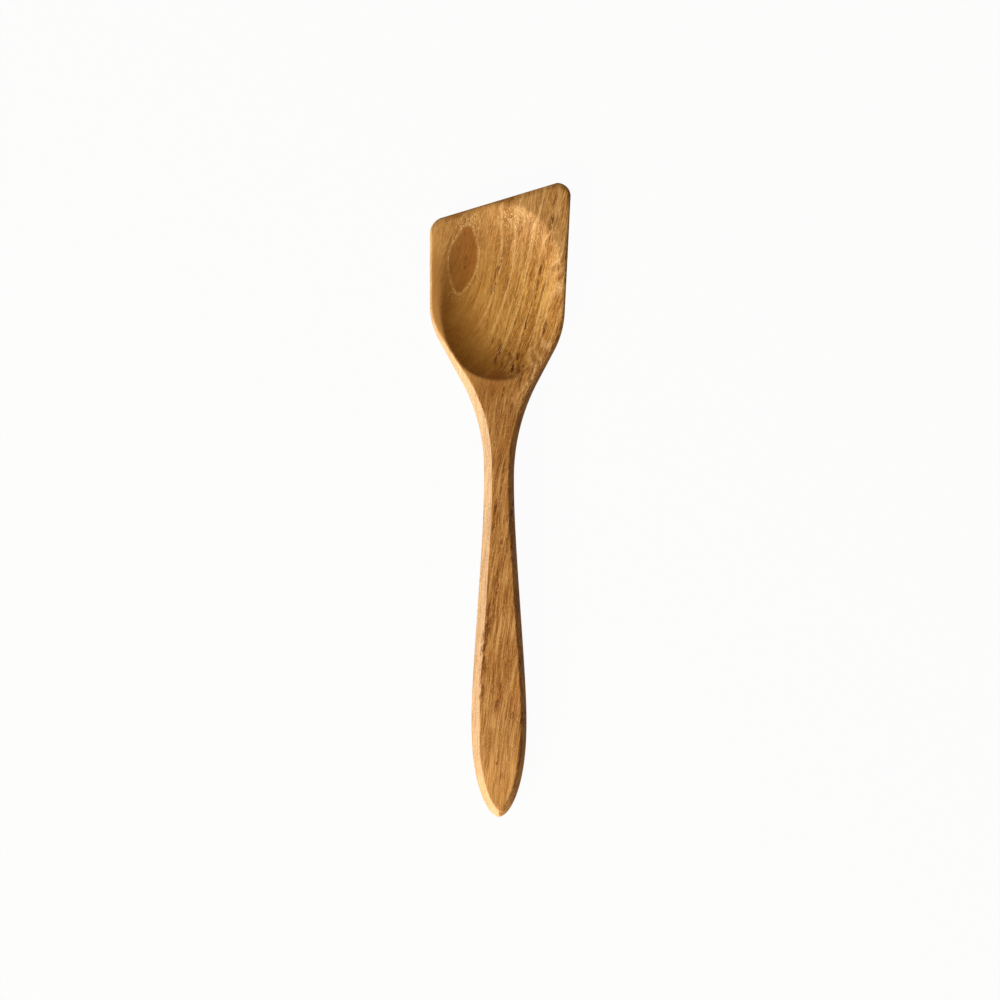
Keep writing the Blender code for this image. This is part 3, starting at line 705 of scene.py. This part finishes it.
def makeTeak():
    material = bpy.data.materials.new("oiled_teak")
    material.use_nodes = True
    tree = material.node_tree
    shader = tree.nodes["Principled BSDF"]
    start = Wire(tree, None)

    def parts(output):
        # the three numbers of one of the texture coordinates
        vector = start.node("ShaderNodeTexCoord", output=output)
        return [start.node("ShaderNodeSeparateXYZ", None, {"Vector": vector}, i) for i in range(3)]

    # where a place is, in millimetres, and which way it faces
    x, y, z = (part * (1 / mm) for part in parts(3))
    faceX, faceY, faceZ = parts(1)
    leftward = faceX + faceY * y.fall(*stretches["tipFacet"]) * facets["tipShare"]
    facingLeft = leftward.fall(*facets["left"])
    upside = faceZ.rise(*facets["up"])
    onHead = y.rise(*stretches["blade"])

    def noise(first, second, third, detail=1.0, roughness=0.5):
        spot = start.node("ShaderNodeCombineXYZ", None, {"X": first, "Y": second, "Z": third})
        return start.node(
            "ShaderNodeTexNoise", None,
            {"Vector": spot, "Scale": 1.0, "Detail": detail, "Roughness": roughness})

    # The grain dips under the blade, so that the bowl's near walls cut it at a slant
    across, along = grain["wanderAcross"], grain["wanderAlong"]
    drift = noise(x * across, y * along, z * across) - 0.5
    dip = (z - grain["dipLevel"]) * y.rise(*stretches["dip"], grain["handleDip"], grain["bladeDip"])
    grainX = x - y * grain["slope"] + drift * grain["wander"] + dip

    def streaks(across, along, detail, seed, roughness=0.5):
        return noise(
            grainX * across + seed, y * along, z * across * grain["depthShare"], detail, roughness)

    def blend(share, under, over):
        return start.node(
            "ShaderNodeMix", {"data_type": "RGBA"}, {0: share, 6: under, 7: over}, 2)

    # The growth rings circle the low spot on the bowl's left wall and run down the blade on its right
    r = growthRings
    acrossCm, upCm, aheadCm = x * 0.1, z * 0.1, y * 0.1 - r["ahead0"]
    headRing = (
        z + acrossCm * r["across"] - aheadCm * r["ahead"] + acrossCm * acrossCm * r["acrossAcross"]
        - acrossCm * upCm * r["acrossUp"] - upCm * upCm * r["upUp"])
    handleRing = (x - y * r["handleSlope"]) * r["handleAcross"] + z * r["handleUp"] + r["handle0"]
    jitter = streaks(*streakKinds["jitter"]) - 0.5
    ring = handleRing + (headRing - handleRing) * onHead + drift * (1 - onHead) * r["handleWander"]
    ringCount = r["last"] - r["first"]
    ringShare = (ring + jitter * r["jitter"] - r["first"]) * (1 / ringCount)

    # The figure is plainest in the bowl's left half and at the tip, and calm on the neck
    clear = (x + (y - plainPart["y"]) * plainPart["slope"]).rise(*plainPart["edge"])
    onLeft = onHead * clear.fall(0.0, 1.0) * x.fall(*plainPart["rightEnd"]) * teak["leftCalm"]
    onNeck = y.rise(*stretches["neckStart"]) * y.fall(*stretches["neckEnd"])
    liveliness = 1.0 - onHead + onHead * ring.rise(*r["lively"], *r["liveliness"])
    liveliness = liveliness * y.rise(*stretches["tip"], teak["tipLively"], 1.0)
    liveliness = liveliness * (1.0 - onNeck * teak["neckCalm"]) * (1.0 - onLeft)

    # Tone: slow bands, grit, and the figure of pores, threads, fibres and the rings' bands
    grit = noise(*(part * teak["gritFineness"] for part in (x, y, z)))
    pores, threads, fibres = (streaks(*streakKinds[kind]) for kind in ("pores", "threads", "fibres"))
    ringBands = noise(
        ring * r["bandsAcross"] + jitter * r["bandJitter"], y * r["bandsAlong"], z * r["bandsUp"],
        r["bandDetail"], r["bandRoughness"])
    bands = streaks(*streakKinds["bands"])
    figure = (
        (pores - 0.5) * (onHead * teak["bladeAddsPores"] + teak["pores"])
        + (threads - 0.5) * teak["threads"]
        + (fibres - 0.5) * (teak["fibres"] - onHead * teak["bladeTakesFibres"])
        + (ringBands - 0.5) * teak["rings"])
    tone = 0.5 + (bands - 0.5) * teak["bands"] + (grit - 0.5) * teak["grit"] * liveliness * liveliness
    tone = tone + liveliness * figure
    # the bowl's floor is a little lighter in the middle
    ahead = y - floorSpot["y"]
    middle = x * x * floorSpot["across"] + ahead * ahead * floorSpot["along"]
    middle = middle.fall(0.0, 1.0) * onHead

    def spots(places, seed, raggedness, nearest=0.3):
        # soft marks drawn out along the grain; a larger nearest makes them fuller
        total = None
        slope = grain["slope"]
        wobble = (streaks(0.8, 0.3, 2.0, seed) - 0.5) * raggedness
        here = start.node("ShaderNodeCombineXYZ", None, {"X": x - y * slope + wobble, "Y": y})
        for spotX, spotY, long, wide, strength in places:
            size = (2 / wide, 2 / long, 0.0)
            shift = ((spotY * slope - spotX) * size[0], -spotY * size[1], 0.0)
            reach = start.node(
                "ShaderNodeVectorMath", {"operation": "MULTIPLY_ADD"}, {0: here, 1: size, 2: shift})
            far = start.node(
                "ShaderNodeVectorMath", {"operation": "DOT_PRODUCT"}, {0: reach, 1: reach}, 1)
            mark = far.rise(nearest, nearest + 1.0, strength, 0.0)
            total = mark if total is None else total.larger(mark)
        return total * upside

    tone = tone + middle * teak["bowlMiddle"]
    lighter = spots(lightSpots, seed=89.0, raggedness=3.0, nearest=0.0)
    # deeper-coloured wood, and painted shade on the right edge and shoulder
    shadeAndDark = spots(shadeAndDarkSpots, seed=83.0, raggedness=5.0, nearest=0.0)
    tone = tone + lighter - shadeAndDark
    stops = [
        (teak["deepTone"], teak["deep"]), (teak["middleTone"], teak["middle"]),
        (teak["lightTone"], teak["light"]),
    ]
    colour = start.node("ShaderNodeValToRGB", {"stops": stops}, {"Fac": tone})

    # Tints of the handle, its tip, the blade and the bowl, which lies under the blade's upper face
    sunk = blade["height"] - blade["slope"] * (y - blade["start"]) - z
    inBowl = sunk.rise(*blade["sunk"]) * onHead
    handleTint = blend(y.fall(*stretches["tipColour"]), teak["handleTint"], teak["tipTint"])
    bladeTint = blend(inBowl * y.fall(*stretches["bowlColour"]), teak["headTint"], teak["bowlTint"])
    colour = start.node(
        "ShaderNodeMix", {"data_type": "RGBA", "blend_type": "MULTIPLY"},
        {0: 1.0, 6: colour, 7: blend(onHead, handleTint, bladeTint)}, 2)

    # The distance from the edge of the small ring's red-brown wood, below nought inside it
    lean = math.radians(knot["lean"])
    knotX = x - knot["x"] + jitter * knot["wobbleAcross"]
    knotY = y - knot["y"] + jitter * knot["wobbleAlong"]
    knotAlong = knotX * math.sin(lean) + knotY * math.cos(lean)
    knotAcross = knotX * math.cos(lean) - knotY * math.sin(lean)
    knotAcross = knotAcross * (1.0 + knotAlong * knotAlong * knot["pointedness"])
    steepX = knotAcross * (1 / knot["across"] ** 2)
    steepY = knotAlong * (1 / knot["along"] ** 2)

    def root(square):
        return start.node("ShaderNodeMath", {"operation": "SQRT"}, {0: square})

    size = root(knotAcross * steepX + knotAlong * steepY)
    steep = root(steepX * steepX + steepY * steepY + 0.0001)
    fromKnot = start.node("ShaderNodeMath", {"operation": "DIVIDE"}, {0: (size - 1.0) * size, 1: steep})
    inKnot = fromKnot.fall(-knot["edge"], knot["edge"]) * upside
    redShare = inKnot * knotAcross.rise(*knot["deepens"], *knot["redShares"])
    colour = blend(redShare, colour, teak["redBrown"])
    rusty = spots(rustSpots, seed=71.0, raggedness=3.0)
    colour = blend(rusty * teak["rustShare"], colour, teak["rust"])

    # Pale pores: dotted along the rings, crowded in some places and thin all over
    stops = [(0.0, 0.0)]
    for number, strength, width in paleRings:
        for offset, height in ((-width, 0.0), (0.0, strength), (width, 0.0)):
            stops.append(((number + offset - r["first"]) / ringCount, height))
    lines = start.node("ShaderNodeValToRGB", {"stops": stops}, {"Fac": ringShare})
    aroundKnot = fromKnot.rise(*knot["paleStart"]) * fromKnot.fall(*knot["paleEnd"]) * upside
    dots = streaks(*streakKinds["dots"])
    dotted = dots.rise(*cuts["dotted"])
    crowded = dots.rise(*cuts["crowded"]) * spots(paleSpots, seed=59.0, raggedness=4.0)
    crowded = crowded * fromKnot.rise(*knot["crowdedStart"])
    thin = dots.rise(*cuts["thin"]) * fromKnot.rise(*knot["thinStart"])
    thin = thin * (1.0 - onLeft) * teak["thinShare"]
    # the rings' lines die out in the bowl's near left wall
    onLines = lines * fromKnot.rise(*knot["linesStart"]) * clear * (dotted * 0.65 + 0.35)
    paleShare = onLines.larger(aroundKnot * (dotted * 0.8 + 0.1)).larger(crowded).larger(thin)
    colour = blend(paleShare * teak["paleShare"], colour, teak["pale"])

    # Dark vessels: short dashes along the grain, crowded in the bands of late wood
    dashes = streaks(*streakKinds["dashes"]).rise(*cuts["dashes"])
    crowds = ringBands.fall(*cuts["lateWood"]) * liveliness
    colour = blend(dashes * crowds * teak["vesselShare"], colour, teak["vessel"])

    # The left facets are painted pale, a painted highlight where the light from the left falls on them,
    # broken up by the fibres and a speckle; rust-coloured pits lie on them too
    across, along = teak["speckleAcross"], teak["speckleAlong"]
    speckle = noise(x * across, y * along, z * across, 2.0, 0.65)
    leftHalf = x.fall(*facets["leftHalf"])
    towardsBlade = y.rise(*stretches["leftFacet"], 1.0, teak["highlightOnBlade"])
    paintedHighlight = facingLeft * leftHalf * towardsBlade * teak["highlightShare"]
    paintedHighlight = paintedHighlight * (fibres * teak["highlightFibres"] + speckle * teak["highlightSpeckle"] - teak["highlightLeast"])
    # the painted highlight on the left facets
    colour = blend(paintedHighlight, colour, teak["highlightColour"])
    pits = facingLeft * speckle.fall(*cuts["pits"]) * leftHalf * teak["pitShare"]
    colour = blend(pits, colour, teak["rust"])

    # Larger flecks
    ragged = streaks(*streakKinds["ragged"]).rise(*cuts["ragged"])
    fleckShare = spots(flecks, seed=79.0, raggedness=0.9, nearest=0.35) * ragged
    colour = blend(fleckShare, colour, teak["dark"])

    rough = teak["rough"] + (fibres - 0.5) * teak["roughFibres"] + dashes * teak["roughDashes"]
    height = (pores * teak["poreHeight"] + fibres * teak["fibreHeight"]) * liveliness
    height = height - dashes * crowds * teak["dashDepth"] - fleckShare * teak["fleckDepth"]
    bump = start.node(
        "ShaderNodeBump", None,
        {"Height": height, "Strength": teak["bumpStrength"], "Distance": teak["bumpDistance"]})
    tree.links.new(colour.socket, shader.inputs["Base Color"])
    tree.links.new(rough.socket, shader.inputs["Roughness"])
    tree.links.new(bump.socket, shader.inputs["Normal"])
    shader.inputs["Specular IOR Level"].default_value = teak["specular"]
    return material


carved.data.materials.append(makeTeak())
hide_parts("spatula_body")
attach(carved, "root")
print("teak ready")

# Table, light and camera
studio = {
    "tableSize": 8.0, "tableColour": (0.50, 0.46, 0.41, 1.0), "shadowShare": 0.035,
    "roomLight": 0.18, "roomColour": (1.0, 0.68, 0.26, 1.0),
    "aim": (0.0, 0.0, 0.012),
    "cameraHeight": 2.5, "viewWidth": 0.47319, "viewLevel": 0.0085, "viewX": -0.00012,
}

# turn is counted from the right, towards the blade; height above the table
lamps = {
    "key": {"power": 75.0, "size": 1.1, "distance": 2.2, "turn": 229.0, "height": 33.0,
            "colour": (1.0, 0.98, 0.93)},
    "side": {"power": 1.5, "size": 0.45, "distance": 1.5, "turn": 195.0, "height": 10.0,
             "colour": (1.0, 0.98, 0.94)},
}


def whiteRays(start):
    # the rays that see the table and the room as plain white: the camera's, and those that come
    # off a gloss or through glass
    seen, glossy, through = (start.node("ShaderNodeLightPath", output=output) for output in (0, 3, 6))
    return seen.larger(glossy).larger(through)


def makeTable():
    mesh = bmesh.new()
    bmesh.ops.create_grid(mesh, x_segments=1, y_segments=1, size=studio["tableSize"] / 2)
    data = bpy.data.meshes.new("table")
    mesh.to_mesh(data)
    mesh.free()
    table = bpy.data.objects.new("table", data)
    bpy.context.scene.collection.objects.link(table)
    material = bpy.data.materials.new("white_table")
    material.use_nodes = True
    tree = material.node_tree
    tree.nodes.clear()
    start = Wire(tree, None)
    seen = whiteRays(start)
    matt = start.node("ShaderNodeBsdfDiffuse", None, {"Color": studio["tableColour"]})
    white = start.node("ShaderNodeEmission", None, {"Color": (1.0, 1.0, 1.0, 1.0), "Strength": 1.0})
    share = seen * (1 - studio["shadowShare"])
    both = start.node("ShaderNodeMixShader", None, {0: share, 1: matt, 2: white})
    output = tree.nodes.new("ShaderNodeOutputMaterial")
    tree.links.new(both.socket, output.inputs["Surface"])
    data.materials.append(material)


def makeRoom():
    room = bpy.data.worlds.new("room")
    bpy.context.scene.world = room
    room.use_nodes = True
    tree = room.node_tree
    tree.nodes.clear()
    start = Wire(tree, None)
    seen = whiteRays(start)
    soft = start.node(
        "ShaderNodeBackground", None, {"Color": studio["roomColour"], "Strength": studio["roomLight"]})
    white = start.node("ShaderNodeBackground", None, {"Color": (1.0, 1.0, 1.0, 1.0), "Strength": 1.0})
    both = start.node("ShaderNodeMixShader", None, {0: seen, 1: soft, 2: white})
    output = tree.nodes.new("ShaderNodeOutputWorld")
    tree.links.new(both.socket, output.inputs["Surface"])


def addLamp(name, values):
    lamp = bpy.data.lights.new(name, "AREA")
    lamp.shape = "DISK"
    lamp.energy = values["power"]
    lamp.size = values["size"]
    lamp.color = values["colour"]
    turn, height = math.radians(values["turn"]), math.radians(values["height"])
    way = Vector((
        math.cos(turn) * math.cos(height), math.sin(turn) * math.cos(height), math.sin(height)))
    holder = bpy.data.objects.new(name, lamp)
    holder.location = Vector(studio["aim"]) + way * values["distance"]
    holder.rotation_euler = way.to_track_quat("Z", "Y").to_euler()
    bpy.context.scene.collection.objects.link(holder)


makeTable()
makeRoom()
for name, values in lamps.items():
    addLamp(name, values)

camera = bpy.data.cameras.new("camera")
camera.sensor_width = 36.0
camera.lens = 36.0 * (studio["cameraHeight"] - studio["viewLevel"]) / studio["viewWidth"]
camera.clip_end = 20.0
watching = bpy.data.objects.new("camera", camera)
watching.location = (studio["viewX"], 0.0, studio["cameraHeight"])
bpy.context.scene.collection.objects.link(watching)
bpy.context.scene.camera = watching
bpy.context.scene.view_settings.view_transform = "Standard"
print("studio ready")
